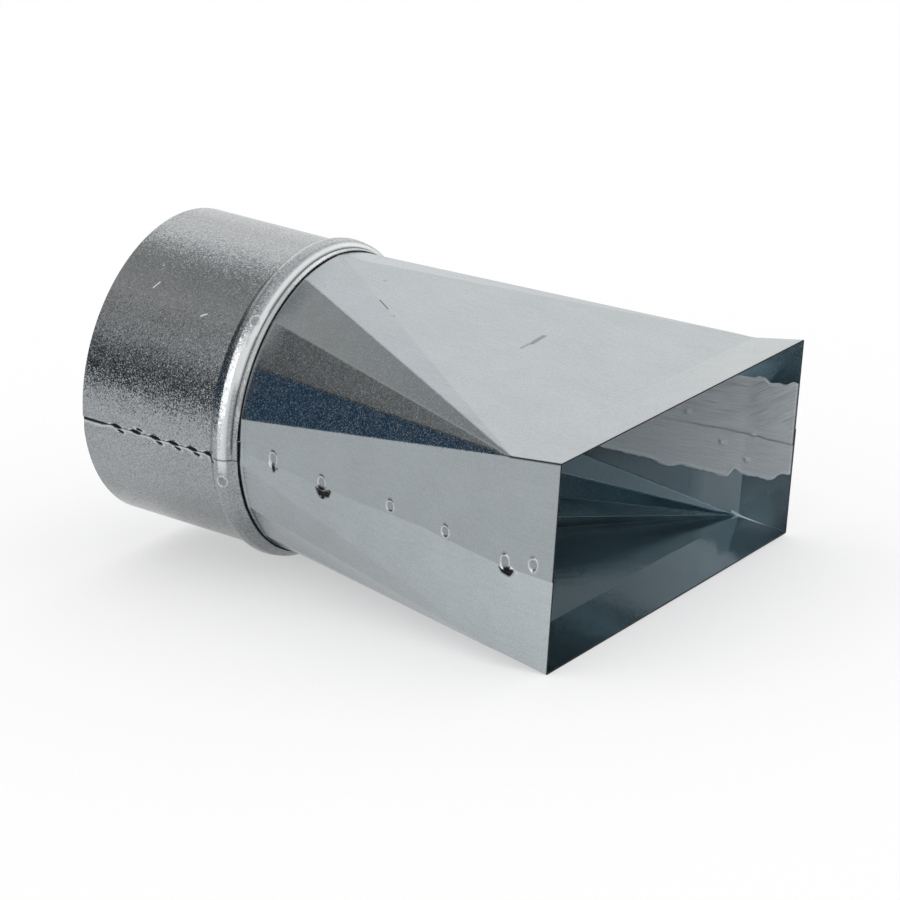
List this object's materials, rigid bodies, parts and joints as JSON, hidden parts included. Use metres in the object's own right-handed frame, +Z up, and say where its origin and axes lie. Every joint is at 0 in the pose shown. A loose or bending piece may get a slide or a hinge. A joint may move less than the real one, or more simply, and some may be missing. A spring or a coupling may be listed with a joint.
{
  "type": "rectangular to round duct transition",
  "caption": "Galvanised sheet steel duct reducer: a flared rectangular mouth folds through creased corner facets down to a round collar with a swaged bead.",
  "frame": {"origin": "centre of the round collar's open end", "axes": "+X along the duct from the collar's open end to the rectangular mouth, +Y across the mouth's long side away from the near wall, +Z up"},
  "size_m": [0.2822, 0.2158, 0.1552],
  "materials": {
    "galvanised_sheet": "bright galvanised sheet with a fine spangle",
    "seam_sealant": "matte brushed mastic"
  },
  "bodies": {
    "root": {"round_collar": "galvanised_sheet", "upper_shell": "galvanised_sheet", "lower_shell": "galvanised_sheet", "seam_sealant_far": "seam_sealant", "seam_sealant_near": "seam_sealant"}
  },
  "joints": []
}
